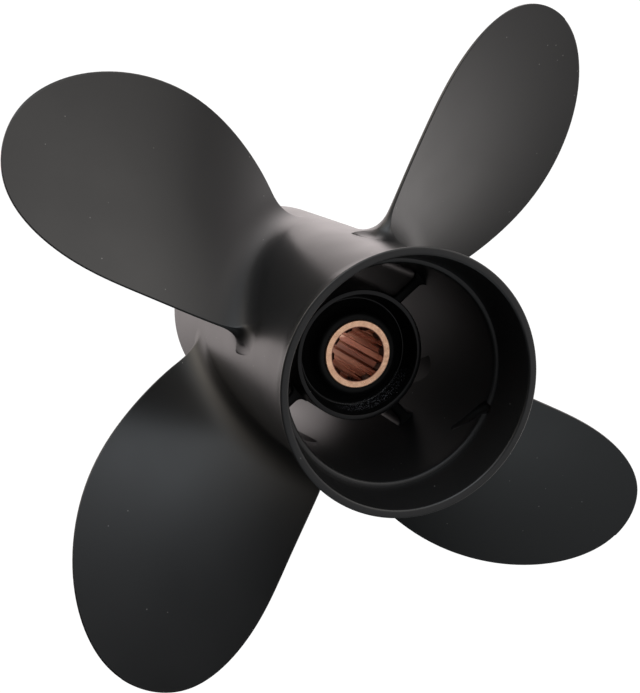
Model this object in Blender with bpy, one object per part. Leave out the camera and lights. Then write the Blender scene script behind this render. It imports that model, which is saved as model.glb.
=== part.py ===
# Four-blade outboard propeller whose exhaust leaves through the hub.
# Metres. The shaft axis is Z and aft is up: the fore rim of the hub stands on z = 0.
import math

import bmesh
import bpy
import numpy as np
from mathutils import Vector

# Blades. The outline is laid out on the helix: arc length along it, and radius.
BLADE_COUNT = 4
TIP_RADIUS = 0.127
PITCH = 0.289
BLADE_PHASE = math.radians(58.0)
BLADE_HEIGHT = 0.0642
RAKE_SLOPE = 0.0736
RAKE_CURVE = 0.246
LEADING_EDGE = ((-0.0415, 0.0235), (-0.0455, 0.0650), (-0.0430, 0.0885), (-0.0142, 0.1225))
TIP = (0.0027, TIP_RADIUS)
TRAILING_EDGE = ((0.0216, 0.1205), (0.0300, 0.0990), (0.0280, 0.0700), (0.0245, 0.0270))
ROOT_THICKNESS = 0.0085
TIP_THICKNESS = 0.0024
EDGE_THICKNESS = 0.0012
THICKNESS_FADE = 1.3
SECTION_FULLNESS = 0.8
ROOT_FILLET = 0.0045
ROOT_ROWS = 7
BLADE_ROWS = 14
BLADE_COLUMNS = 14

# Outer hub: a straight barrel, and the flared ring at its aft end.
HUB_LENGTH = 0.1284
FORE_RADIUS = 0.0363
BARREL_RADIUS = 0.0367
BARREL_BORE = 0.0331
FLARE_LENGTH = 0.0142
RIM_RADIUS = 0.0402
RIM_LAND = 0.0026
RIM_ROUND = 0.0004
STEP_WIDTH = 0.0015

# Inner hub: the tube that holds the cushion, and the ribs that carry it.
TUBE_FORE_RADIUS = 0.0222
TUBE_AFT_RADIUS = 0.0208
TUBE_BORE = 0.0176
TUBE_MOUTH = 0.0192
TUBE_CONE = 0.0060
TUBE_LIP = 0.0003
TUBE_FORE = 0.0100
TUBE_AFT = HUB_LENGTH - 0.0408
RIB_COUNT = 4
RIB_PHASE = math.radians(45.0)
RIB_THICKNESS = 0.0034
RIB_FORE = 0.0140
RIB_AFT = 0.0760

# Rubber cushion and the splined sleeve at its centre.
CUSHION_FORE = 0.0140
CUSHION_AFT = HUB_LENGTH - 0.0477
COLLAR_RADIUS = 0.0128
COLLAR_DROP = 0.0006
SLEEVE_RADIUS = 0.0109
SLEEVE_FORE = 0.0060
SLEEVE_AFT = HUB_LENGTH - 0.0427
SPLINE_COUNT = 10
SPLINE_PHASE = math.radians(7.5)
SPLINE_ROOT = 0.00855
SPLINE_TOP = 0.0075
SPLINE_TOP_SHARE = 0.36
SPLINE_ROOT_SHARE = 0.36

GAP = 0.0003
ROUND_STEPS = 72
SMOOTH_ANGLE = math.radians(35.0)
BARREL_AFT = HUB_LENGTH - FLARE_LENGTH
SOFT = 1.0e-5


def clear_scene():
    for old in list(bpy.data.objects):
        bpy.data.objects.remove(old, do_unlink=True)


def make_material(name, colour, roughness, metallic):
    material = bpy.data.materials.new(name)
    material.use_nodes = True
    shader = material.node_tree.nodes["Principled BSDF"]
    shader.inputs["Base Color"].default_value = (*colour, 1.0)
    shader.inputs["Roughness"].default_value = roughness
    shader.inputs["Metallic"].default_value = metallic
    return material


def add_object(name, mesh_data, material):
    bmesh.ops.recalc_face_normals(mesh_data, faces=mesh_data.faces)
    mesh = bpy.data.meshes.new(name)
    mesh_data.to_mesh(mesh)
    mesh_data.free()
    mesh.materials.append(material)
    mesh.shade_smooth()
    mesh.set_sharp_from_angle(angle=SMOOTH_ANGLE)
    piece = bpy.data.objects.new(name, mesh)
    bpy.context.scene.collection.objects.link(piece)
    return piece


def turned(name, profile, material):
    """A ring turned about Z from a closed outline of (radius, height) points."""
    mesh_data = bmesh.new()
    points = [mesh_data.verts.new((radius, 0.0, height)) for radius, height in profile]
    edges = [mesh_data.edges.new(pair) for pair in zip(points, points[1:] + points[:1])]
    bmesh.ops.spin(
        mesh_data,
        geom=points + edges,
        cent=(0.0, 0.0, 0.0),
        axis=(0.0, 0.0, 1.0),
        angle=2.0 * math.pi,
        steps=ROUND_STEPS,
        use_merge=True,
    )
    bmesh.ops.remove_doubles(mesh_data, verts=mesh_data.verts, dist=SOFT)
    return add_object(name, mesh_data, material)


def barrel_profile():
    inner, outer = BARREL_BORE, BARREL_RADIUS
    top = BARREL_AFT - GAP
    return [
        (inner, 0.0),
        (FORE_RADIUS, 0.0),
        (outer, 0.4 * top),
        (outer, top),
        (inner, top),
    ]


def flare_profile():
    """Outside, the ring swells in a quarter wave; inside, it opens in a straight cone."""
    base = BARREL_AFT
    outside = []
    for step in range(7):
        share = step / 6
        swell = 1.0 - math.cos(0.5 * math.pi * share)
        radius = BARREL_RADIUS + (RIM_RADIUS - BARREL_RADIUS) * swell
        outside.append((radius, base + (FLARE_LENGTH - RIM_ROUND) * share))
    rim = [
        (RIM_RADIUS - RIM_ROUND, HUB_LENGTH),
        (RIM_RADIUS - RIM_LAND + RIM_ROUND, HUB_LENGTH),
        (RIM_RADIUS - RIM_LAND, HUB_LENGTH - RIM_ROUND),
    ]
    return [(BARREL_BORE + STEP_WIDTH, base)] + outside + rim


def tube_profile():
    return [
        (TUBE_BORE, TUBE_FORE),
        (TUBE_FORE_RADIUS, TUBE_FORE),
        (TUBE_AFT_RADIUS, TUBE_AFT - TUBE_LIP),
        (TUBE_AFT_RADIUS - TUBE_LIP, TUBE_AFT),
        (TUBE_MOUTH, TUBE_AFT),
        (TUBE_BORE, TUBE_AFT - TUBE_CONE),
    ]


def cushion_profile():
    """The aft face slopes down from a collar round the sleeve."""
    return [
        (SLEEVE_RADIUS + GAP, CUSHION_FORE),
        (TUBE_BORE - GAP, CUSHION_FORE),
        (TUBE_BORE - GAP, CUSHION_AFT),
        (COLLAR_RADIUS, SLEEVE_AFT - COLLAR_DROP),
        (SLEEVE_RADIUS + GAP, SLEEVE_AFT - COLLAR_DROP),
    ]


def tube_radius(height):
    share = (height - TUBE_FORE) / (TUBE_AFT - TUBE_LIP - TUBE_FORE)
    return TUBE_FORE_RADIUS + (TUBE_AFT_RADIUS - TUBE_FORE_RADIUS) * share


def make_rib(index, material):
    """A flat web between tube and barrel."""
    outline = [
        (tube_radius(RIB_FORE) + GAP, RIB_FORE),
        (BARREL_BORE - GAP, RIB_FORE),
        (BARREL_BORE - GAP, RIB_AFT),
        (tube_radius(RIB_AFT) + GAP, RIB_AFT),
    ]
    mesh_data = bmesh.new()
    half = 0.5 * RIB_THICKNESS
    points = [mesh_data.verts.new((radius, -half, height)) for radius, height in outline]
    side = mesh_data.faces.new(points)
    other = bmesh.ops.extrude_face_region(mesh_data, geom=[side])
    moved = [item for item in other["geom"] if isinstance(item, bmesh.types.BMVert)]
    bmesh.ops.translate(mesh_data, verts=moved, vec=(0.0, RIB_THICKNESS, 0.0))
    rib = add_object(f"rib_{index + 1}", mesh_data, material)
    rib.rotation_euler.z = RIB_PHASE + index * 2.0 * math.pi / RIB_COUNT
    return rib


def spline_outline():
    """Radius and angle round the bore, four corners to each tooth."""
    tooth = 2.0 * math.pi / SPLINE_COUNT
    top = 0.5 * tooth * SPLINE_TOP_SHARE
    root = 0.5 * tooth * (1.0 - SPLINE_ROOT_SHARE)
    corners = []
    for index in range(SPLINE_COUNT):
        middle = SPLINE_PHASE + index * tooth
        corners += [
            (SPLINE_ROOT, middle - root),
            (SPLINE_TOP, middle - top),
            (SPLINE_TOP, middle + top),
            (SPLINE_ROOT, middle + root),
        ]
    return corners


def make_sleeve(material):
    """A tube with teeth inside, made as an annular end face drawn out along the axis."""
    mesh_data = bmesh.new()
    corners = spline_outline()
    rings = ([], [])
    for radius, angle in corners:
        for ring, size in zip(rings, (radius, SLEEVE_RADIUS)):
            place = (size * math.cos(angle), size * math.sin(angle), SLEEVE_FORE)
            ring.append(mesh_data.verts.new(place))
    count = len(corners)
    for index in range(count):
        after = (index + 1) % count
        mesh_data.faces.new((rings[0][index], rings[0][after], rings[1][after], rings[1][index]))
    drawn = bmesh.ops.extrude_face_region(mesh_data, geom=list(mesh_data.faces))
    moved = [item for item in drawn["geom"] if isinstance(item, bmesh.types.BMVert)]
    bmesh.ops.translate(mesh_data, verts=moved, vec=(0.0, 0.0, SLEEVE_AFT - SLEEVE_FORE))
    return add_object("splined_sleeve", mesh_data, material)


def natural_spline(knots, values, where):
    """The cubic through the values with no bend at its ends, read at the places given."""
    count = len(knots)
    width = np.diff(knots)
    slope = np.diff(values, axis=0) / width[:, None]
    system = np.eye(count)
    right = np.zeros_like(values)
    for row in range(1, count - 1):
        system[row, row - 1] = width[row - 1]
        system[row, row] = 2.0 * (width[row - 1] + width[row])
        system[row, row + 1] = width[row]
        right[row] = 6.0 * (slope[row] - slope[row - 1])
    bend = np.linalg.solve(system, right)
    span = np.clip(np.searchsorted(knots, where) - 1, 0, count - 2)
    step = width[span][:, None]
    before = (np.asarray(where) - knots[span])[:, None]
    after = step - before
    curve = (bend[span] * after**3 + bend[span + 1] * before**3) / (6.0 * step)
    line_start = (values[span] / step - bend[span] * step / 6.0) * after
    line_end = (values[span + 1] / step - bend[span + 1] * step / 6.0) * before
    return curve + line_start + line_end


def blade_row_shares():
    """Close rows through the root fillet, then wider ones that close up again at the tip."""
    root = np.linspace(0.07, 0.14, ROOT_ROWS)
    first = math.asin(0.18)
    return np.concatenate((root, np.sin(np.linspace(first, 0.485 * math.pi, BLADE_ROWS))))


def blade_edges():
    """Leading and trailing edge, each from the root to just short of the tip."""
    points = np.array(LEADING_EDGE + (TIP,) + TRAILING_EDGE)
    chords = np.linalg.norm(np.diff(points, axis=0), axis=1)
    knots = np.concatenate(([0.0], np.cumsum(chords)))
    tip = knots[len(LEADING_EDGE)]
    share = blade_row_shares()
    leading = natural_spline(knots, points, tip * share)
    trailing = natural_spline(knots, points, knots[-1] + (tip - knots[-1]) * share)
    return leading, trailing


def on_helix(arc, radius, lift):
    """A point at an arc length along the helix of a radius, lifted square off its face."""
    slant = math.atan2(PITCH, 2.0 * math.pi * radius)
    out = radius - BARREL_RADIUS
    rake = RAKE_SLOPE * out + RAKE_CURVE * out * abs(out)
    angle = (arc * math.cos(slant) - lift * math.sin(slant)) / radius
    height = BLADE_HEIGHT + rake + arc * math.sin(slant) + lift * math.cos(slant)
    return Vector((radius * math.cos(angle), radius * math.sin(angle), height))


def blade_thickness(radius):
    share = (TIP_RADIUS - radius) / (TIP_RADIUS - BARREL_RADIUS)
    return TIP_THICKNESS + (ROOT_THICKNESS - TIP_THICKNESS) * max(share, 0.0) ** THICKNESS_FADE


def root_swell(radius):
    """How far the fillet stands out from the blade at a radius."""
    left = ROOT_FILLET - max(radius - BARREL_RADIUS, GAP)
    if left <= 0.0:
        return 0.0
    return ROOT_FILLET - math.sqrt(ROOT_FILLET * ROOT_FILLET - left * left)


def blade_section(start, end):
    """Points round one section: the flat aft face, then back along the full fore face."""
    aft, fore = [], []
    for across in np.cos(np.linspace(math.pi, 0.0, BLADE_COLUMNS + 1)):
        arc, radius = start + (end - start) * 0.5 * (across + 1.0)
        full = (1.0 - across * across) ** SECTION_FULLNESS
        depth = EDGE_THICKNESS + (blade_thickness(radius) - EDGE_THICKNESS) * full
        swell = root_swell(radius)
        arc += swell * across
        aft.append(on_helix(arc, radius, 0.5 * EDGE_THICKNESS + swell))
        fore.append(on_helix(arc, radius, 0.5 * EDGE_THICKNESS - depth - swell))
    return aft + fore[::-1]


def make_blade_mesh():
    mesh_data = bmesh.new()
    rows = []
    for start, end in zip(*blade_edges()):
        rows.append([mesh_data.verts.new(point) for point in blade_section(start, end)])
    count = len(rows[0])
    for row, beyond in zip(rows, rows[1:]):
        for index in range(count):
            after = (index + 1) % count
            mesh_data.faces.new((row[index], row[after], beyond[after], beyond[index]))
    ends = [mesh_data.faces.new(rows[0]), mesh_data.faces.new(rows[-1])]
    bmesh.ops.triangulate(mesh_data, faces=ends)
    return mesh_data


def make_root_cutter():
    """The hub's outside, a gap larger, that shapes the foot of each blade."""
    profile = [
        (FORE_RADIUS + GAP, -GAP),
        (BARREL_RADIUS + GAP, 0.4 * (BARREL_AFT - GAP)),
        (BARREL_RADIUS + GAP, HUB_LENGTH),
    ]
    mesh_data = bmesh.new()
    points = [mesh_data.verts.new((0.0, 0.0, profile[0][1]))]
    points += [mesh_data.verts.new((radius, 0.0, height)) for radius, height in profile]
    points.append(mesh_data.verts.new((0.0, 0.0, profile[-1][1])))
    edges = [mesh_data.edges.new(pair) for pair in zip(points, points[1:])]
    bmesh.ops.spin(
        mesh_data,
        geom=points + edges,
        cent=(0.0, 0.0, 0.0),
        axis=(0.0, 0.0, 1.0),
        angle=2.0 * math.pi,
        steps=ROUND_STEPS,
    )
    bmesh.ops.remove_doubles(mesh_data, verts=mesh_data.verts, dist=SOFT)
    cutter = add_object("root_cutter", mesh_data, make_material("cutter", (1.0, 0.0, 0.0), 0.5, 0.0))
    cutter.hide_render = True
    cutter.display_type = "WIRE"
    return cutter


def make_blades(material):
    cutter = make_root_cutter()
    first = add_object("blade_1", make_blade_mesh(), material)
    blades = [first]
    for index in range(1, BLADE_COUNT):
        copy = bpy.data.objects.new(f"blade_{index + 1}", first.data)
        bpy.context.scene.collection.objects.link(copy)
        blades.append(copy)
    for index, blade in enumerate(blades):
        blade.rotation_euler.z = BLADE_PHASE + index * 2.0 * math.pi / BLADE_COUNT
        cut = blade.modifiers.new("foot", "BOOLEAN")
        cut.operation = "DIFFERENCE"
        cut.solver = "EXACT"
        cut.object = cutter
    return blades


def make_propeller():
    clear_scene()
    paint = make_material("black_paint", (0.022, 0.022, 0.023), 0.32, 0.0)
    rubber = make_material("rubber", (0.012, 0.012, 0.012), 0.60, 0.0)
    bronze = make_material("bronze", (0.62, 0.36, 0.24), 0.34, 1.0)
    turned("outer_hub", barrel_profile(), paint)
    turned("flared_ring", flare_profile(), paint)
    turned("inner_hub", tube_profile(), paint)
    for index in range(RIB_COUNT):
        make_rib(index, paint)
    make_blades(paint)
    turned("rubber_cushion", cushion_profile(), rubber)
    make_sleeve(bronze)


make_propeller()
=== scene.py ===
# Fine shapes, finishes, light and camera for a four-blade outboard propeller.
# Metres. The shaft axis is Z and aft is up: the hub's fore rim stands on z = 0.
import math

import bpy
import numpy as np
from mathutils import Euler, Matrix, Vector


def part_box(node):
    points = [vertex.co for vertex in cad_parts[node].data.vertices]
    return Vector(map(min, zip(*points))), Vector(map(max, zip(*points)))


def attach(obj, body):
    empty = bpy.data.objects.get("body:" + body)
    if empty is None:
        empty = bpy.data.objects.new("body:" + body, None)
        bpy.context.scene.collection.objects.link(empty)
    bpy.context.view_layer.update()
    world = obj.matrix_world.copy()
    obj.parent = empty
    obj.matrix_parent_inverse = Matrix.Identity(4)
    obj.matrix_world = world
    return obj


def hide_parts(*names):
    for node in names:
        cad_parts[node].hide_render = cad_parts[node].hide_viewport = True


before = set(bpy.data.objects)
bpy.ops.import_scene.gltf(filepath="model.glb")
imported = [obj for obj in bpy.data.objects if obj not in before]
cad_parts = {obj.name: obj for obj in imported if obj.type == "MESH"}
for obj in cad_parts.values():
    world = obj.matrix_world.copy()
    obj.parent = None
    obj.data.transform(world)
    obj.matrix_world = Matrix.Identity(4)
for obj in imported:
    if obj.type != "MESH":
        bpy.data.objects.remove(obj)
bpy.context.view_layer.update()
fullTurn = 2.0 * math.pi


# Small helpers

def clearSelection():
    if bpy.context.mode != "OBJECT":
        bpy.ops.object.mode_set(mode="OBJECT")
    bpy.ops.object.select_all(action="DESELECT")


def selectOnly(piece):
    clearSelection()
    piece.select_set(True)
    bpy.context.view_layer.objects.active = piece


def smoothStep(share):
    # from 0 to 1 with a soft start and a soft end
    share = min(max(share, 0.0), 1.0)
    return share * share * (3.0 - 2.0 * share)


def finishMesh(piece, sharpAngle, mergeWithin=2.0e-6):
    # doubles merged, holes closed, faces out, round parts smooth
    bpy.ops.object.mode_set(mode="EDIT")
    bpy.ops.mesh.select_all(action="SELECT")
    bpy.ops.mesh.remove_doubles(threshold=mergeWithin)
    bpy.ops.mesh.fill_holes(sides=0)
    bpy.ops.mesh.normals_make_consistent(inside=False)
    bpy.ops.object.mode_set(mode="OBJECT")
    bpy.ops.object.shade_smooth_by_angle(angle=math.radians(sharpAngle))
    return piece


def turnedRing(name, outline, segments, sharpAngle):
    # a closed outline of (radius, height), spun once round the shaft axis
    clearSelection()
    bpy.ops.mesh.primitive_circle_add(vertices=len(outline), radius=1.0, fill_type="NOTHING")
    ring = bpy.context.object
    ring.name = ring.data.name = name
    for corner, (radius, height) in zip(ring.data.vertices, outline):
        corner.co = (radius, 0.0, height)
    bpy.ops.object.mode_set(mode="EDIT")
    bpy.ops.mesh.select_all(action="SELECT")
    bpy.ops.mesh.spin(steps=segments, angle=fullTurn, center=(0.0, 0.0, 0.0), axis=(0.0, 0.0, 1.0))
    bpy.ops.object.mode_set(mode="OBJECT")
    return finishMesh(ring, sharpAngle)


def rolledGrid(name, rows, sharpAngle):
    # a grid laid on the given points; where it is rolled up, the two sides that meet are merged
    clearSelection()
    bpy.ops.mesh.primitive_grid_add(x_subdivisions=len(rows[0]) - 1, y_subdivisions=len(rows) - 1, size=1.0)
    sheet = bpy.context.object
    sheet.name = sheet.data.name = name
    sheet.data.vertices.foreach_set("co", np.asarray(rows, dtype=float).ravel())
    return finishMesh(sheet, sharpAngle)


def softCorners(corners, steps=6):
    # corners are (radius, height, rounding); a rounded one becomes a short curve
    outline = []
    for index, (radius, height, rounding) in enumerate(corners):
        here = Vector((radius, height))
        if not rounding:
            outline.append(here)
            continue
        before = Vector(corners[index - 1][:2])
        after = Vector(corners[(index + 1) % len(corners)][:2])
        start = here + (before - here).normalized() * rounding
        end = here + (after - here).normalized() * rounding
        for step in range(steps + 1):
            t = step / steps
            outline.append(start * (1 - t) ** 2 + here * 2 * t * (1 - t) + end * t * t)
    return outline


def naturalSpline(knots, values, where):
    # cubic through the values, with no bend at its two ends
    count = len(knots)
    width = np.diff(knots)
    slope = np.diff(values, axis=0) / width[:, None]
    system = np.eye(count)
    right = np.zeros_like(values)
    for row in range(1, count - 1):
        system[row, row - 1:row + 2] = width[row - 1], 2.0 * (width[row - 1] + width[row]), width[row]
        right[row] = 6.0 * (slope[row] - slope[row - 1])
    bend = np.linalg.solve(system, right)
    span = np.clip(np.searchsorted(knots, where) - 1, 0, count - 2)
    step = width[span][:, None]
    before = (np.asarray(where) - knots[span])[:, None]
    after = step - before
    curve = (bend[span] * after ** 3 + bend[span + 1] * before ** 3) / (6.0 * step)
    return (curve + (values[span] / step - bend[span] * step / 6.0) * after
            + (values[span + 1] / step - bend[span + 1] * step / 6.0) * before)


# Finishes

def newFinish(name):
    finish = bpy.data.materials.new(name)
    finish.use_nodes = True
    nodes, links = finish.node_tree.nodes, finish.node_tree.links
    place = nodes.new("ShaderNodeTexCoord").outputs["Object"]
    return finish, nodes, links, nodes["Principled BSDF"], place


def addNoise(nodes, links, place, scale, detail, stretch=(1.0, 1.0, 1.0)):
    mapping = nodes.new("ShaderNodeMapping")
    mapping.inputs["Scale"].default_value = stretch
    noise = nodes.new("ShaderNodeTexNoise")
    noise.inputs["Scale"].default_value = scale
    noise.inputs["Detail"].default_value = detail
    links.new(place, mapping.inputs["Vector"])
    links.new(mapping.outputs["Vector"], noise.inputs["Vector"])
    return noise.outputs["Fac"]


def addRange(nodes, links, value, fromMin, fromMax, toMin=0.0, toMax=1.0):
    span = nodes.new("ShaderNodeMapRange")
    limits = {"From Min": fromMin, "From Max": fromMax, "To Min": toMin, "To Max": toMax}
    for socket, number in limits.items():
        span.inputs[socket].default_value = number
    links.new(value, span.inputs["Value"])
    return span.outputs["Result"]


def addVector(nodes, links, operation, vector, other=None):
    change = nodes.new("ShaderNodeVectorMath")
    change.operation = operation
    links.new(vector, change.inputs[0])
    if other:
        change.inputs[1].default_value = other
    return change.outputs


def shaftRadius(nodes, links, place):
    # distance from the shaft axis
    flat = addVector(nodes, links, "MULTIPLY", place, (1.0, 1.0, 0.0))["Vector"]
    return addVector(nodes, links, "LENGTH", flat)["Value"]


def reachAlong(nodes, links, vector, axis):
    # how far a place or a direction reaches along an axis
    return addVector(nodes, links, "DOT_PRODUCT", vector, axis)["Value"]


def addProduct(nodes, links, first, *others):
    for other in others:
        product = nodes.new("ShaderNodeMath")
        product.operation = "MULTIPLY"
        links.new(first, product.inputs[0])
        links.new(other, product.inputs[1])
        first = product.outputs["Value"]
    return first


def addBlend(nodes, links, share, under, over):
    # a plain number laid over another value
    blend = nodes.new("ShaderNodeMix")
    links.new(share, blend.inputs["Factor"])
    links.new(under, blend.inputs["A"])
    blend.inputs["B"].default_value = over
    return blend.outputs["Result"]


def addTint(nodes, links, share, under, over):
    # each of the two is a colour or the output of another node
    tint = nodes.new("ShaderNodeMix")
    tint.data_type = "RGBA"
    links.new(share, tint.inputs["Factor"])
    for socket, colour in (("A", under), ("B", over)):
        if isinstance(colour, tuple):
            tint.inputs[socket].default_value = (*colour, 1.0)
        else:
            links.new(colour, tint.inputs[socket])
    return tint.outputs["Result"]


def addBump(nodes, links, height, depth):
    bump = nodes.new("ShaderNodeBump")
    bump.inputs["Distance"].default_value = depth
    bump.inputs["Strength"].default_value = 1.0
    links.new(height, bump.inputs["Height"])
    return bump.outputs["Normal"]


blackPaint = {
    "colour": (0.0064, 0.0064, 0.0066),
    "roughness": (0.34, 0.40),
    "cloudScale": 38.0,             # broad clouds in the sheen
    "cloudDetail": 3.0,
    "cloudSpan": (0.3, 0.7),
    "peelScale": 900.0,             # fine unevenness of sprayed paint
    "peelDetail": 1.0,
    "peelDepth": 0.000004,
    "gloss": 0.5,
    "insideRadius": 0.0334,         # inside the barrel the paint is duller
    "insideRoughness": 0.44,
    "insideGloss": 0.22,
    "wetRadius": 0.0206,            # the tube's mouth looks wet
    "wetRoughness": 0.14,
    "edgeFade": 0.0004,
}
dustSpecks = {
    "colour": (0.16, 0.155, 0.15),
    "scale": 180.0,
    "size": 0.045,                  # in cells of the pattern
    "core": 0.027,
}
# painted highlight: light grey specks on one side of the tube's mouth stand in for glints on its glossy
# paint
paintedGlints = {
    "colour": (0.17, 0.175, 0.19),
    "scale": 2400.0,
    "detail": 2.0,
    "span": (0.56, 0.62),
    "radius": 0.0182,               # they lie inside this radius and above this height
    "height": 0.0700,
    "turn": 298.0,                  # on the one side of the tube's mouth where the glints are painted
    "fadeFrom": 0.0120,
    "fadeTo": 0.0180,
}


def paintRoughness(nodes, links, place, radius):
    # cloudy outside, duller in the barrel, wet in the tube's mouth
    cloud = addNoise(nodes, links, place, blackPaint["cloudScale"], blackPaint["cloudDetail"])
    rough = addRange(nodes, links, cloud, *blackPaint["cloudSpan"], *blackPaint["roughness"])
    for edge, other in (("insideRadius", "insideRoughness"), ("wetRadius", "wetRoughness")):
        inner = blackPaint[edge]
        within = addRange(nodes, links, radius, inner, inner + blackPaint["edgeFade"], 1.0, 0.0)
        rough = addBlend(nodes, links, within, rough, blackPaint[other])
    return rough


def dustMask(nodes, links, place):
    cells = nodes.new("ShaderNodeTexVoronoi")
    cells.inputs["Scale"].default_value = dustSpecks["scale"]
    links.new(place, cells.inputs["Vector"])
    core, size = dustSpecks["core"], dustSpecks["size"]
    return addRange(nodes, links, cells.outputs["Distance"], core, size, 1.0, 0.0)


def paintedGlintMask(nodes, links, place, radius):
    # painted highlight: specks only in the tube's mouth, above a height and on one side
    turn, fade = math.radians(paintedGlints["turn"]), blackPaint["edgeFade"]
    side = reachAlong(nodes, links, place, (math.cos(turn), math.sin(turn), 0.0))
    height = reachAlong(nodes, links, place, (0.0, 0.0, 1.0))
    grain = addNoise(nodes, links, place, paintedGlints["scale"], paintedGlints["detail"])
    inner, foot = paintedGlints["radius"], paintedGlints["height"]
    masks = (
        addRange(nodes, links, grain, *paintedGlints["span"]),
        addRange(nodes, links, radius, inner, inner + fade, 1.0, 0.0),
        addRange(nodes, links, side, paintedGlints["fadeFrom"], paintedGlints["fadeTo"]),
        addRange(nodes, links, height, foot, foot + fade),
    )
    return addProduct(nodes, links, *masks)


def satinBlack():
    finish, nodes, links, shader, place = newFinish("satinBlack")
    radius = shaftRadius(nodes, links, place)
    links.new(paintRoughness(nodes, links, place, radius), shader.inputs["Roughness"])
    inner, outer = blackPaint["insideRadius"], blackPaint["insideRadius"] + blackPaint["edgeFade"]
    gloss = addRange(nodes, links, radius, inner, outer, blackPaint["insideGloss"], blackPaint["gloss"])
    links.new(gloss, shader.inputs["Specular IOR Level"])
    peel = addNoise(nodes, links, place, blackPaint["peelScale"], blackPaint["peelDetail"])
    links.new(addBump(nodes, links, peel, blackPaint["peelDepth"]), shader.inputs["Normal"])
    dust = dustMask(nodes, links, place)
    dusty = addTint(nodes, links, dust, blackPaint["colour"], dustSpecks["colour"])
    # painted highlight laid over the dusty black
    glintShare = paintedGlintMask(nodes, links, place, radius)
    colour = addTint(nodes, links, glintShare, dusty, paintedGlints["colour"])
    links.new(colour, shader.inputs["Base Color"])
    return finish


rubberFinish = {
    "colour": (0.004, 0.004, 0.004),
    "roughness": 0.55,
    "gloss": 0.25,
    "grainScale": 1500.0,
    "grainDetail": 2.0,
    "grainDepth": 0.000006,
}


def mouldedRubber():
    finish, nodes, links, shader, place = newFinish("mouldedRubber")
    shader.inputs["Base Color"].default_value = (*rubberFinish["colour"], 1.0)
    shader.inputs["Roughness"].default_value = rubberFinish["roughness"]
    shader.inputs["Specular IOR Level"].default_value = rubberFinish["gloss"]
    grain = addNoise(nodes, links, place, rubberFinish["grainScale"], rubberFinish["grainDetail"])
    links.new(addBump(nodes, links, grain, rubberFinish["grainDepth"]), shader.inputs["Normal"])
    return finish


bronzeFinish = {
    "pale": (1.0, 0.62, 0.41),
    "mottled": (0.82, 0.46, 0.29),
    "mottleScale": 420.0,
    "mottleDetail": 4.0,
    "mottleSpan": (0.45, 0.80),
    # painted shade: the bronze inside the toothed bore is coloured darker and redder than the same bronze
    # at its ends
    "bore": (0.42, 0.21, 0.15),
    "boreRadius": 0.0088,
    "boreFade": 0.0002,
    "paintedLightPatch": (1.0, 0.88, 0.72),     # painted light: further in, the bore is brighter in patches
    "patchTop": 0.069,
    "patchFull": 0.058,
    "patchScale": 130.0,
    "patchDetail": 1.0,
    "patchStretch": (1.0, 1.0, 0.2),
    "patchSpan": (0.48, 0.56),
    "roughness": (0.24, 0.38),
    "drawScale": 1200.0,
    "drawDetail": 3.0,
    "drawStretch": (1.0, 1.0, 0.03),    # drawn out along the shaft
    "drawSpan": (0.3, 0.7),
    "drawDepth": 0.00001,
}


def boreShadeAndLight(nodes, links, place):
    # painted shade over the whole bore, and painted light in patches that grow brighter deeper in
    height = reachAlong(nodes, links, place, (0.0, 0.0, 1.0))
    deep = addRange(nodes, links, height, bronzeFinish["patchFull"], bronzeFinish["patchTop"], 1.0, 0.0)
    scale, detail = bronzeFinish["patchScale"], bronzeFinish["patchDetail"]
    paintedLightPatch = addNoise(nodes, links, place, scale, detail, bronzeFinish["patchStretch"])
    patchy = addRange(nodes, links, paintedLightPatch, *bronzeFinish["patchSpan"])
    lit = addProduct(nodes, links, deep, patchy)
    return addTint(nodes, links, lit, bronzeFinish["bore"], bronzeFinish["paintedLightPatch"])


def turnedBronze():
    finish, nodes, links, shader, place = newFinish("turnedBronze")
    shader.inputs["Metallic"].default_value = 1.0
    cloud = addNoise(nodes, links, place, bronzeFinish["mottleScale"], bronzeFinish["mottleDetail"])
    mottle = addRange(nodes, links, cloud, *bronzeFinish["mottleSpan"])
    turned = addTint(nodes, links, mottle, bronzeFinish["pale"], bronzeFinish["mottled"])
    radius, edge = shaftRadius(nodes, links, place), bronzeFinish["boreRadius"]
    outside = addRange(nodes, links, radius, edge, edge + bronzeFinish["boreFade"])
    colour = addTint(nodes, links, outside, boreShadeAndLight(nodes, links, place), turned)
    links.new(colour, shader.inputs["Base Color"])
    scale, detail = bronzeFinish["drawScale"], bronzeFinish["drawDetail"]
    draw = addNoise(nodes, links, place, scale, detail, bronzeFinish["drawStretch"])
    rough = addRange(nodes, links, draw, *bronzeFinish["drawSpan"], *bronzeFinish["roughness"])
    links.new(rough, shader.inputs["Roughness"])
    links.new(addBump(nodes, links, draw, bronzeFinish["drawDepth"]), shader.inputs["Normal"])
    return finish


finishes = {"black_paint": satinBlack(), "rubber": mouldedRubber(), "bronze": turnedBronze()}
print("finishes made")


def handOver(piece, slot, nodes):
    piece.data.materials.clear()
    piece.data.materials.append(finishes[slot])
    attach(piece, "root")
    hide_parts(*nodes)


def placeRound(first, stem, values, slot, node):
    # what repeats is copied with a mesh of its own and turned about the shaft
    pieces = [first]
    while len(pieces) < values["count"]:
        selectOnly(first)
        bpy.ops.object.duplicate()
        pieces.append(bpy.context.object)
    for index, piece in enumerate(pieces):
        piece.name = piece.data.name = f"{stem}{index + 1}"
        selectOnly(piece)
        piece.rotation_euler.z = math.radians(values["phase"]) + index * fullTurn / values["count"]
        bpy.ops.object.transform_apply(location=True, rotation=True, scale=True)
        handOver(piece, slot, (f"{node}_{index + 1}",))


# Hub shell: the straight barrel and the flared ring at its aft end, cast in one

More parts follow.
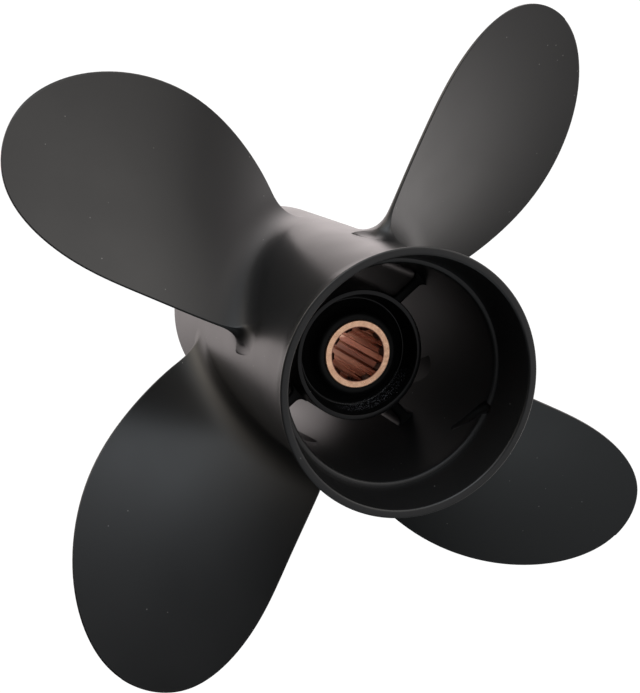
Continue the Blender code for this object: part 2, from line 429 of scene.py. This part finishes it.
barrelBox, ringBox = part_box("outer_hub"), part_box("flared_ring")
hub = {
    "length": ringBox[1].z,
    "foreRadius": 0.0363,
    "barrelRadius": barrelBox[1].x,
    "straightFrom": 0.0456,         # the barrel widens up to this height
    "bore": 0.0331,
    "flareFrom": ringBox[0].z,
    "rimRadius": ringBox[1].x,
    "rimLand": 0.0026,
    "rimRounding": 0.0007,
    "stepWidth": 0.0015,
    "stepRounding": 0.0012,
    "foreRounding": 0.0006,
    "endMargin": 0.003,             # no row of the wall lies nearer to an end or the ledge
    "wallRows": 15,
    "flareRows": 24,
    "segments": 256,
    "sharpAngle": 35.0,             # edges flatter than this are shaded smooth
}


def hubRadiusAt(height):
    share = min(max(height / hub["straightFrom"], 0.0), 1.0)
    return hub["foreRadius"] + (hub["barrelRadius"] - hub["foreRadius"]) * share


def makeHubShell():
    # up the outside, over the rim, down the coned mouth to the ledge and down the bore
    rise = hub["length"] - hub["flareFrom"]
    corners = [(hub["bore"], 0.0, hub["foreRounding"]), (hub["foreRadius"], 0.0, hub["foreRounding"])]
    for height in np.linspace(hub["endMargin"], hub["flareFrom"], hub["wallRows"]):
        corners.append((hubRadiusAt(height), height, 0.0))
    for share in np.linspace(0.0, 1.0, hub["flareRows"] + 1)[1:-1]:
        swell = 1.0 - math.cos(0.25 * fullTurn * share)
        radius = hub["barrelRadius"] + (hub["rimRadius"] - hub["barrelRadius"]) * swell
        corners.append((radius, hub["flareFrom"] + (rise - hub["rimRounding"]) * share, 0.0))
    mouth = hub["rimRadius"] - hub["rimLand"]
    corners += [
        (hub["rimRadius"], hub["length"], hub["rimRounding"]),
        (mouth, hub["length"], hub["rimRounding"]),
        (hub["bore"] + hub["stepWidth"], hub["flareFrom"], 0.0),
        (hub["bore"], hub["flareFrom"], hub["stepRounding"]),
    ]
    for height in np.linspace(hub["flareFrom"] - hub["endMargin"], hub["endMargin"], hub["wallRows"]):
        corners.append((hub["bore"], height, 0.0))
    return turnedRing("hubShell", softCorners(corners), hub["segments"], hub["sharpAngle"])


notch = {
    "radius": 0.0021,
    "nearTurn": 342.0,
    "nearHeight": 0.1128,
    "nearOut": 0.0336,
    "farTurn": 325.0,
    "farHeight": 0.1030,
    "farOut": 0.0313,
    "segments": 48,
    "rings": 24,
}


def cutNotch(shell):
    # a round-nosed groove that crosses the ledge and runs out in the bore
    near, far = math.radians(notch["nearTurn"]), math.radians(notch["farTurn"])
    nearOut, farOut = notch["nearOut"], notch["farOut"]
    nose = Vector((nearOut * math.cos(near), nearOut * math.sin(near), notch["nearHeight"]))
    runOut = Vector((farOut * math.cos(far), farOut * math.sin(far), notch["farHeight"]))
    clearSelection()
    segments, rings = notch["segments"], notch["rings"]
    bpy.ops.mesh.primitive_uv_sphere_add(segments=segments, ring_count=rings, radius=notch["radius"])
    cutter = bpy.context.object
    for corner in cutter.data.vertices:     # the ball is drawn out to a rod
        if corner.co.z > 0.0:
            corner.co.z += (runOut - nose).length
    cutter.location = nose
    cutter.rotation_euler = (runOut - nose).to_track_quat("Z", "Y").to_euler()
    selectOnly(shell)
    bpy.ops.object.modifier_add(type="BOOLEAN")
    cut = shell.modifiers[-1]
    cut.operation = "DIFFERENCE"
    cut.object = cutter
    bpy.ops.object.modifier_apply(modifier=cut.name)
    bpy.data.objects.remove(cutter)
    return shell


handOver(cutNotch(makeHubShell()), "black_paint", ("outer_hub", "flared_ring"))
print("hub shell made")


# Inner hub: the tube that holds the rubber

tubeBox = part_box("inner_hub")
tube = {
    "fore": tubeBox[0].z,
    "aft": tubeBox[1].z,
    "foreRadius": 0.0222,
    "aftRadius": 0.0208,
    "bore": 0.0176,
    "mouth": 0.0192,
    "coneDepth": 0.0060,
    "edgeRounding": 0.0003,
    "lipRadius": 0.0169,            # a thin stepped lip over the rubber's edge
    "lipStep": 0.0003,
    "lipDrop": 0.0005,
    "lipThickness": 0.0015,
    "lipEdge": 0.00015,
    "foreRounding": 0.0006,
    "segments": 192,
    "sharpAngle": 35.0,
}


def tubeRadiusAt(height):
    share = (height - tube["fore"]) / (tube["aft"] - tube["fore"])
    return tube["foreRadius"] + (tube["aftRadius"] - tube["foreRadius"]) * share


def makeInnerTube():
    bore, lip, edge = tube["bore"], tube["lipRadius"], tube["lipEdge"]
    coneFoot = tube["aft"] - tube["coneDepth"]
    lipTop = coneFoot - tube["lipDrop"]
    corners = [
        (bore, tube["fore"], tube["foreRounding"]),
        (tube["foreRadius"], tube["fore"], tube["foreRounding"]),
        (tube["aftRadius"], tube["aft"], tube["edgeRounding"]),
        (tube["mouth"], tube["aft"], tube["edgeRounding"]),
        (bore - 0.5 * tube["lipStep"], coneFoot, edge),
        (bore - tube["lipStep"], lipTop, edge),
        (lip, lipTop, edge),
        (lip, lipTop - tube["lipThickness"], 0.0),
        (bore, lipTop - tube["lipThickness"], 0.0),
    ]
    return turnedRing("innerTube", softCorners(corners), tube["segments"], tube["sharpAngle"])


handOver(makeInnerTube(), "black_paint", ("inner_hub",))
print("inner tube made")


# Ribs: four webs that carry the tube inside the barrel, each with a fillet at both feet

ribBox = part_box("rib_1")
rib = {
    "count": 4,
    "phase": 45.0,
    "halfThickness": 0.0017,
    "fore": ribBox[0].z,
    "aft": ribBox[1].z,
    "footFillet": 0.0025,
    "edgeRounding": 0.0009,
    "sink": 0.0006,                 # the feet go this far into tube and barrel
    "edgeSteps": 6,
    "heightRows": 12,
    "sideColumns": 32,
    "sharpAngle": 40.0,
}


def filletSwell(distance, radius):
    # how far a round fillet stands out, at a distance from the wall it runs into
    left = min(max(radius - distance, 0.0), radius)
    return radius - math.sqrt(radius * radius - left * left)


def ribHalfAt(out, height):
    # half the rib's thickness, with the fillets at its feet on the tube and the barrel
    near = max(min(out - tubeRadiusAt(height), hub["bore"] - out), 0.0)
    return rib["halfThickness"] + filletSwell(near, rib["footFillet"])


def ribLevels():
    # heights of the rib's rows, each with how far the section has closed towards a rounded edge
    ends = []
    for step in range(rib["edgeSteps"] + 1):
        turn = 0.25 * fullTurn * step / rib["edgeSteps"]
        ends.append((rib["edgeRounding"] * (1.0 - math.sin(turn)), 1.0 - math.cos(turn)))
    levels = [(rib["fore"] + drop, close) for drop, close in ends[::-1]]
    levels += [(height, 0.0) for height in np.linspace(rib["fore"], rib["aft"], rib["heightRows"])[1:-1]]
    return levels + [(rib["aft"] - drop, close) for drop, close in ends]


def makeRib():
    rows = []
    for height, close in ribLevels():
        inner, outer = tubeRadiusAt(height) - rib["sink"], hub["bore"] + rib["sink"]
        side = []
        for share in np.linspace(0.0, 1.0, rib["sideColumns"] + 1):
            out = inner + (outer - inner) * 0.5 * (1.0 - math.cos(0.5 * fullTurn * share))
            side.append((out, ribHalfAt(out, height) - rib["edgeRounding"] * close))
        loop = side + [(out, -half) for out, half in side[::-1]] + [side[0]]
        rows.append([(out, half, height) for out, half in loop])
    return rolledGrid("ribWeb", rows, rib["sharpAngle"])


placeRound(makeRib(), "ribWeb", rib, "black_paint", "rib")
print("ribs made")


# Blades: each is a skin laid on the helix, with round edges and a fillet that runs into the hub

blade = {
    "count": 4,
    "phase": 58.0,
    "tipRadius": 0.127,
    "pitch": 0.289,
    "height": 0.0642,
    "rakeSlope": 0.0736,
    "rakeCurve": 0.246,
    # outline points (arc, radius), fitted to the photo by a program and rounded, as pitch and rake are
    "leadingEdge": ((-0.0415, 0.0235), (-0.0455, 0.0650), (-0.0430, 0.0885), (-0.0142, 0.1225)),
    "tip": (0.0027, 0.127),
    "trailingEdge": ((0.0216, 0.1205), (0.0300, 0.0990), (0.0280, 0.0700), (0.0245, 0.0270)),
    "rootThickness": 0.0085,
    "tipThickness": 0.0024,
    "edgeThickness": 0.0012,
    "thicknessFade": 1.3,
    "sectionFullness": 0.8,
    "aftFillet": (0.0110, 0.0090),  # how far each fillet climbs the blade and spreads on the hub
    "foreFillet": (0.0090, 0.0090),
    "trailingFillet": (0.0080, 0.0075),
    "leadingFillet": (0.0060, 0.0050),
    "cornerRounding": 0.00025,
    # the trailing end's corner is round up to one height above the hub and crisp from the other
    "cornerSoft": (0.0024, 0.0058),
    "roundShare": 0.96,             # how much of the soft end its corner takes up
    "endLean": 0.40,                # how far the soft end's flat reaches to the fore side
    "endSlant": 0.0025,             # below this height the end slants off to the fore side
    "slantPower": 0.8,
    "lipHeight": 0.0011,            # raised casting edge at the fore side of the trailing foot
    "lipLength": 0.0022,
    "lipBlend": 0.0060,
    "lipRounding": 0.0038,
    "lipPower": 3.0,
    "sink": 0.0015,                 # the foot goes this far into the barrel
    "seamSink": 0.00003,            # a row just under the barrel's surface keeps the foot's shading true
    "footRows": 14,
    "edgeSteps": (0.0, 0.01, 0.05, 0.15, 0.3, 0.5, 0.75),
    "spanRows": 56,
    "columns": 44,
    "noseSteps": 8,
    "endSteps": 6,
    "outlineSamples": 4000,
    "outlineStep": 1.0e-5,
    "sharpAngle": 50.0,
}


def onHelix(arc, radius, lift):
    # arc runs round the hub along the pitch line, lift stands square to it
    slant = math.atan2(blade["pitch"], fullTurn * radius)
    out = radius - hub["barrelRadius"]
    rake = blade["rakeSlope"] * out + blade["rakeCurve"] * out * abs(out)
    angle = (arc * math.cos(slant) - lift * math.sin(slant)) / radius
    height = blade["height"] + rake + arc * math.sin(slant) + lift * math.cos(slant)
    return Vector((radius * math.cos(angle), radius * math.sin(angle), height))


def bladeThickness(radius):
    share = max((blade["tipRadius"] - radius) / (blade["tipRadius"] - hub["barrelRadius"]), 0.0)
    tip, root = blade["tipThickness"], blade["rootThickness"]
    return tip + (root - tip) * share ** blade["thicknessFade"]


def filletSpread(climb, fillet):
    # how far a fillet stands out from the blade at a height above the hub: a parabola, soft at both ends
    up, along = fillet
    return along * max(1.0 - math.sqrt(climb / up), 0.0) ** 2


def footSteps():
    # the foot's rows, with a few more at its very edge
    return list(blade["edgeSteps"]) + list(range(1, blade["footRows"] + 1))


def footClimbs():
    # heights above the hub of the foot's rows, closest where the fillet is flattest
    return [blade["aftFillet"][0] * (step / blade["footRows"]) ** 2 for step in footSteps()]


def footLips():
    # share of the casting lip in each of the foot's rows: round at the edge, then slowly gone
    lips = []
    for climb in footClimbs():
        inset = blade["foreFillet"][1] - filletSpread(climb, blade["foreFillet"])
        rise = math.sqrt(1.0 - (1.0 - min(inset / blade["lipRounding"], 1.0)) ** 2)
        lips.append(rise * max(1.0 - climb / blade["lipBlend"], 0.0) ** 2)
    return lips


def bladeEdges():
    # both edges from the foot to the tip, each point with the outline's outward direction
    points = np.array(blade["leadingEdge"] + (blade["tip"],) + blade["trailingEdge"])
    knots = np.concatenate(([0.0], np.cumsum(np.linalg.norm(np.diff(points, axis=0), axis=1))))
    tip = knots[len(blade["leadingEdge"])]
    footRadii = [hub["barrelRadius"] + climb for climb in footClimbs()]
    edges = []
    for end in (0.0, knots[-1]):
        fine = np.linspace(end, tip, blade["outlineSamples"])
        radii = naturalSpline(knots, points, fine)[:, 1]
        rising = np.maximum.accumulate(radii[: int(np.argmax(radii)) + 1])
        foot = np.interp(footRadii, rising, fine[: len(rising)])
        quarter = np.linspace(0.0, 0.25 * fullTurn, blade["spanRows"] + 1)[1:]
        span = foot[-1] + (tip - foot[-1]) * np.sin(quarter)
        where = np.concatenate((foot, span))
        place = naturalSpline(knots, points, where)
        small = blade["outlineStep"]
        along = naturalSpline(knots, points, where + small) - naturalSpline(knots, points, where - small)
        along /= np.linalg.norm(along, axis=1)[:, None]
        outward = np.stack((-along[:, 1], along[:, 0]), axis=1)
        edges.append((place, outward))
    return edges


def bladeFaces(start, end, top, bottom, lip):
    # points (arc, radius, lift) of the aft and fore faces, from the leading to the trailing edge
    aft, fore = [], []
    for across in np.cos(np.linspace(0.5 * fullTurn, 0.0, blade["columns"] + 1)):
        arc, radius = start + (end - start) * 0.5 * (across + 1.0)
        fullness = (1.0 - across * across) ** blade["sectionFullness"]
        depth = (bladeThickness(radius) - blade["edgeThickness"]) * fullness
        raised = lip * (1.0 - smoothStep((end[0] - arc) / blade["lipLength"]))
        aft.append((arc, radius, top))
        fore.append((arc, radius + raised, -bottom - depth))
    return aft, fore


def trailingReaches(climb, top, bottom, tail, lip):
    # (reach, lift, raise) round the trailing end: aft side, corner, flat, then the round fore side
    steps = blade["endSteps"]
    softFrom, softTo = blade["cornerSoft"]
    soft = 1.0 - smoothStep((climb - softFrom) / (softTo - softFrom))
    slant = 1.0 - smoothStep(climb / blade["endSlant"])
    lean = blade["endLean"] * bottom * soft * (1.0 - slant)
    crisp = blade["cornerRounding"] * (1.0 - soft)
    cornerAlong = crisp + blade["roundShare"] * tail * soft
    cornerAcross = crisp + blade["roundShare"] * (top + lean) * soft
    quarter = [0.25 * fullTurn * step / steps for step in range(steps + 1)]
    reaches = [((tail - cornerAlong) * step / steps, top, 0.0) for step in range(1, steps)]
    for turn in quarter:
        back, drop = cornerAlong * (1.0 - math.sin(turn)), cornerAcross * (1.0 - math.cos(turn))
        reaches.append((tail - back, top - drop, 0.0))
    flat = top + lean - cornerAcross
    reaches += [(tail, flat * (1.0 - step / steps) - lean, 0.0) for step in range(1, steps)]
    power = 1.0 + blade["slantPower"] * slant
    for turn in quarter[:-1]:
        drop = math.sin(turn) ** power
        raised = lip * drop ** blade["lipPower"]
        reaches.append((tail * math.cos(turn) ** power, -lean - (bottom - lean) * drop, raised))
    return reaches


def leadingNose(start, startOut, top, bottom, front):
    # points (arc, radius, lift) round the leading edge, from the fore side to the aft side
    nose = []
    for step in range(1, blade["noseSteps"]):
        turn = 0.5 * fullTurn * step / blade["noseSteps"]
        lift = -(bottom if math.cos(turn) > 0.0 else top) * math.cos(turn)
        nose.append((*(start + startOut * front * math.sin(turn)), lift))
    return nose


def onBarrel(place, sink):
    # the foot follows the barrel's slight widening
    outward = Vector((place.x, place.y, 0.0)).normalized()
    return place + outward * (hubRadiusAt(place.z) - hub["barrelRadius"] - sink)


def bladeLoop(start, startOut, end, endOut, climb, sink, lipShare):
    # one closed section: aft face, trailing end, fore face, round leading edge
    half = 0.5 * blade["edgeThickness"]
    fillets = ("aftFillet", "foreFillet", "trailingFillet", "leadingFillet")
    top, bottom, tail, front = [half + filletSpread(climb, blade[fillet]) for fillet in fillets]
    lip = blade["lipHeight"] * lipShare
    start, end = start - startOut * half, end - endOut * half
    aft, fore = bladeFaces(start, end, top, bottom, lip)
    trailing = []
    for reach, lift, raised in trailingReaches(climb, top, bottom, tail, lip):
        arc, radius = end + endOut * reach
        trailing.append((arc, radius + raised, lift))
    leading = leadingNose(start, startOut, top, bottom, front)
    loop = [onHelix(*point) for point in aft + trailing + fore[::-1] + leading + aft[:1]]
    if climb < blade["aftFillet"][0]:
        loop = [onBarrel(place, sink) for place in loop]
    return loop


def makeBladeMesh():
    (leading, leadingOut), (trailing, trailingOut) = bladeEdges()
    flatOut = (np.array((-1.0, 0.0)), np.array((1.0, 0.0)))
    climbs, lips = footClimbs(), footLips()
    lowest = (leading[0], flatOut[0], trailing[0], flatOut[1], 0.0)
    rows = [bladeLoop(*lowest, blade["sink"], 0.0), bladeLoop(*lowest, blade["seamSink"], 0.0)]
    for row in range(len(leading)):
        onFoot = row < len(climbs)
        outs = flatOut if onFoot else (leadingOut[row], trailingOut[row])
        climb = climbs[row] if onFoot else blade["aftFillet"][0]
        lipShare = lips[row] if onFoot else 0.0
        rows.append(bladeLoop(leading[row], outs[0], trailing[row], outs[1], climb, 0.0, lipShare))
    return rolledGrid("bladeSkin", rows, blade["sharpAngle"])


placeRound(makeBladeMesh(), "bladeSkin", blade, "black_paint", "blade")
print("blades made")


# Rubber cushion: a ring with a dished aft face, bonded between tube and sleeve

cushionBox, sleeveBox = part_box("rubber_cushion"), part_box("splined_sleeve")
cushion = {
    "fore": cushionBox[0].z,
    "edgeHeight": 0.0807,
    "edgeDrop": 0.0010,             # the outer edge lies under the tube's lip
    "edgeWidth": 0.0009,
    "dishFoot": 0.0142,
    "dishRise": 0.0012,
    "dishRounding": 0.0012,
    "collarRadius": 0.0128,
    "collarHeight": cushionBox[1].z,
    "collarRounding": 0.0009,
    "foreRounding": 0.0004,
    "segments": 192,
    "sharpAngle": 35.0,
}


def makeCushion():
    inner, outer, edge = sleeveBox[1].x, tube["bore"], cushion["edgeHeight"]
    rim = edge - cushion["edgeDrop"]
    corners = [
        (inner, cushion["fore"], cushion["foreRounding"]),
        (outer, cushion["fore"], cushion["foreRounding"]),
        (outer, rim, 0.0),
        (outer - cushion["edgeWidth"], rim, 0.5 * cushion["foreRounding"]),
        (cushion["dishFoot"], edge + cushion["dishRise"], cushion["dishRounding"]),
        (cushion["collarRadius"], cushion["collarHeight"], cushion["collarRounding"]),
        (inner, cushion["collarHeight"], 0.0),
    ]
    return turnedRing("rubberRing", softCorners(corners), cushion["segments"], cushion["sharpAngle"])


handOver(makeCushion(), "rubber", ("rubber_cushion",))
print("rubber made")


# Splined sleeve: a bronze tube with ten teeth and a lead-in at both ends

sleeve = {
    "fore": sleeveBox[0].z,
    "aft": sleeveBox[1].z,
    "outer": sleeveBox[1].x,
    "root": 0.00855,
    "top": 0.0075,
    "teeth": 10,
    "phase": 7.5,
    "topShare": 0.36,
    "rootShare": 0.36,
    "stepsPerTooth": 28,
    "leadIn": 0.0011,
    "mouthGap": 0.00015,            # the mouth is this much wider than the tooth roots
    "mouthEdge": 0.0001,
    "edge": 0.0003,
    "endMargin": 0.002,
    "wallRows": 8,
    "boreRows": 14,
    "sharpAngle": 30.0,
}


def boreRadius(share):
    # share of one tooth pitch, from one tooth's middle to the next
    away = abs((share + 0.5) % 1.0 - 0.5) * 2.0
    topEdge, rootEdge = sleeve["topShare"], 1.0 - sleeve["rootShare"]
    ramp = smoothStep((away - topEdge) / (rootEdge - topEdge))
    return sleeve["top"] + (sleeve["root"] - sleeve["top"]) * ramp


def makeSleeve():
    count = sleeve["teeth"] * sleeve["stepsPerTooth"]
    angles = [math.radians(sleeve["phase"]) + fullTurn * step / count for step in range(count + 1)]
    fore, aft, outer, edge = sleeve["fore"], sleeve["aft"], sleeve["outer"], sleeve["edge"]
    margin, lead = sleeve["endMargin"], sleeve["leadIn"]
    mouth = sleeve["root"] + sleeve["mouthGap"]
    # radius and height of each row, from the fore mouth round the outside and back down the bore
    levels = [(mouth, fore), (outer - edge, fore), (outer, fore + edge)]
    levels += [(outer, height) for height in np.linspace(fore + margin, aft - margin, sleeve["wallRows"])]
    levels += [(outer, aft - edge), (outer - edge, aft), (mouth, aft)]
    levels += [(mouth - sleeve["mouthEdge"], aft - sleeve["mouthEdge"])]
    # the toothed bore has no one radius
    levels += [(None, height) for height in np.linspace(aft - lead, fore + lead, sleeve["boreRows"])]
    levels += [(mouth, fore)]
    rows = []
    for fixed, height in levels:
        row = []
        for step, angle in enumerate(angles):
            radius = fixed or boreRadius(step / sleeve["stepsPerTooth"])
            row.append((radius * math.cos(angle), radius * math.sin(angle), height))
        rows.append(row)
    return rolledGrid("splinedBush", rows, sleeve["sharpAngle"])


handOver(makeSleeve(), "bronze", ("splined_sleeve",))
print("sleeve made")


# Floor, light and camera

studio = {
    "floorSize": 8.0,
    "floorDrop": 0.0001,            # the floor lies this far under the fore rim
    "wallRadius": 9.0,
    "glow": 1.05,
    # the camera's place, turn and lens come from the same fit as the blades' outline
    "cameraPlace": (-0.18563, 0.09027, 0.53157),
    "cameraTurn": (-12.395, -20.126, 5.547),    # degrees
    "lens": 81.71,
    "sensor": 36.0,
    "clipStart": 0.01,
}

# azimuth, elevation and spread in degrees, then colour
# not set by hand: a program fitted these to the photo by least squares, and a few were then changed
softLights = {
    "rear": (145.0, -15.0, 25.0, (3.8, 3.5, 3.1)),
    "highRear": (108.0, 29.0, 24.0, (2.95, 3.15, 3.35)),
    "highRight": (46.0, 34.0, 24.0, (2.6, 2.5, 2.4)),
    "groundRight": (45.0, -58.0, 23.0, (2.3, 2.08, 2.06)),
    "frontRight": (344.0, -2.0, 24.0, (1.9, 1.83, 1.78)),
    "groundLeft": (182.0, -57.0, 24.0, (1.68, 1.52, 1.5)),
    "lowRight": (42.0, -36.0, 24.0, (1.35, 1.26, 1.26)),
    "front": (272.0, 23.0, 24.0, (0.88, 0.94, 0.97)),
    "overhead": (336.0, 63.0, 23.0, (0.68, 0.68, 0.7)),
    "lowSide": (72.0, -22.0, 24.0, (0.56, 0.56, 0.56)),
    "lowFrontRight": (351.0, -13.0, 24.0, (0.48, 0.45, 0.46)),
    "groundFront": (222.0, -67.0, 24.0, (0.5, 0.46, 0.46)),
}


def glowingPaper(name):
    # white for the camera alone: all the light comes from the world
    paper = bpy.data.materials.new(name)
    paper.use_nodes = True
    shader = paper.node_tree.nodes["Principled BSDF"]
    shader.inputs["Base Color"].default_value = (0.0, 0.0, 0.0, 1.0)
    shader.inputs["Emission Color"].default_value = (1.0, 1.0, 1.0, 1.0)
    shader.inputs["Emission Strength"].default_value = studio["glow"]
    return paper


def setStage(piece, name):
    piece.name = piece.data.name = name
    bpy.ops.object.transform_apply(location=True, rotation=True, scale=True)
    piece.data.materials.append(glowingPaper(name))
    piece.visible_diffuse = piece.visible_glossy = piece.visible_shadow = False


def makeStage():
    clearSelection()
    bpy.ops.mesh.primitive_plane_add(size=studio["floorSize"], location=(0.0, 0.0, -studio["floorDrop"]))
    setStage(bpy.context.object, "paleFloor")
    clearSelection()
    bpy.ops.mesh.primitive_uv_sphere_add(radius=studio["wallRadius"])
    setStage(bpy.context.object, "paleWall")


def softLight(nodes, links, direction, azimuth, elevation, spread):
    # 1 in the middle of the light, falling off all round it
    around, up = math.radians(azimuth), math.radians(elevation)
    axis = (math.cos(around) * math.cos(up), math.sin(around) * math.cos(up), math.sin(up))
    sharpness = 1.0 / (1.0 - math.cos(math.radians(spread)))
    fall = nodes.new("ShaderNodeMath")
    fall.operation = "MULTIPLY_ADD"
    fall.inputs[1].default_value = sharpness
    fall.inputs[2].default_value = -sharpness
    links.new(reachAlong(nodes, links, direction, axis), fall.inputs[0])
    soft = nodes.new("ShaderNodeMath")
    soft.operation = "EXPONENT"
    links.new(fall.outputs["Value"], soft.inputs[0])
    return soft.outputs["Value"]


def makeSurroundings():
    world = bpy.data.worlds.new("softStudio")
    bpy.context.scene.world = world
    world.use_nodes = True
    nodes, links = world.node_tree.nodes, world.node_tree.links
    direction = nodes.new("ShaderNodeTexCoord").outputs["Generated"]
    total = None
    for azimuth, elevation, spread, colour in softLights.values():
        lit = nodes.new("ShaderNodeVectorMath")
        lit.operation = "MULTIPLY_ADD"
        lit.inputs[1].default_value = colour
        links.new(softLight(nodes, links, direction, azimuth, elevation, spread), lit.inputs[0])
        if total:
            links.new(total, lit.inputs[2])
        total = lit.outputs["Vector"]
    links.new(total, nodes["Background"].inputs["Color"])


def makeCamera():
    clearSelection()
    turn = Euler([math.radians(angle) for angle in studio["cameraTurn"]])
    bpy.ops.object.camera_add(location=studio["cameraPlace"], rotation=turn)
    camera = bpy.context.object
    camera.data.sensor_width = studio["sensor"]
    camera.data.lens = studio["lens"]
    camera.data.clip_start = studio["clipStart"]
    bpy.context.scene.camera = camera


makeStage()
makeSurroundings()
makeCamera()
bpy.context.scene.view_settings.view_transform = "Standard"
print("studio made")
